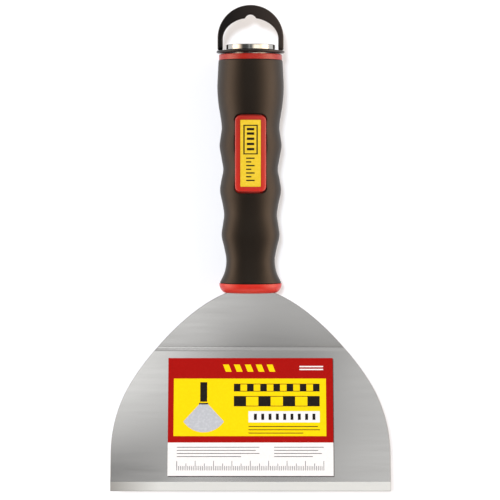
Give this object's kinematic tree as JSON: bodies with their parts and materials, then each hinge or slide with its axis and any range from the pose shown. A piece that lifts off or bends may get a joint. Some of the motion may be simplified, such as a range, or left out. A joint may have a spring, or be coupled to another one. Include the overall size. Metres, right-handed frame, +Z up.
{
  "type": "bent pole scraper",
  "caption": "Bent stainless fan scraper on a moulded soft-grip handle, with a threaded pole socket and a swivelling, folding hang loop at the butt.",
  "frame": {"origin": "middle of the footprint at bench height, with the tool lying label side up on its collar and on the ring at its butt", "axes": "+Z up out of the bench, +Y from the blade's edge towards the butt, +X across the blade. The handle's axis leans 2.66 degrees up from +Y towards the butt"},
  "size_m": [0.1524, 0.265, 0.0372],
  "materials": {
    "stainless_steel": "polished",
    "red_plastic": "satin",
    "dark_rubber": "matte",
    "yellow_sticker": "gloss",
    "pin_steel": "satin",
    "nickel_plate": "bright",
    "printed_card": "satin",
    "black_plastic": "satin"
  },
  "bodies": {
    "handle": {"blade": "stainless_steel", "handle_core": "red_plastic", "grip_sleeve": "dark_rubber", "handle_label": "yellow_sticker", "tang_pin_front": "pin_steel", "tang_pin_rear": "pin_steel", "pole_socket": "nickel_plate", "blade_label": "printed_card"},
    "ring": {"swivel_ring": "black_plastic"},
    "loop": {"hang_loop": "black_plastic"}
  },
  "joints": [
    {"name": "loop_swivel", "type": "hinge", "parent": "handle", "child": "ring", "pos_m": [0, 0.10686, 0.01859], "axis": [0, 0.9989, 0.0465], "continuous": true},
    {"name": "loop_fold", "type": "hinge", "parent": "ring", "child": "loop", "pos_m": [0, 0.1095, 0.01871], "axis": [1, 0, 0], "range_deg": [-90, 90], "stiffness_Nm_per_rad": 0.02}
  ]
}
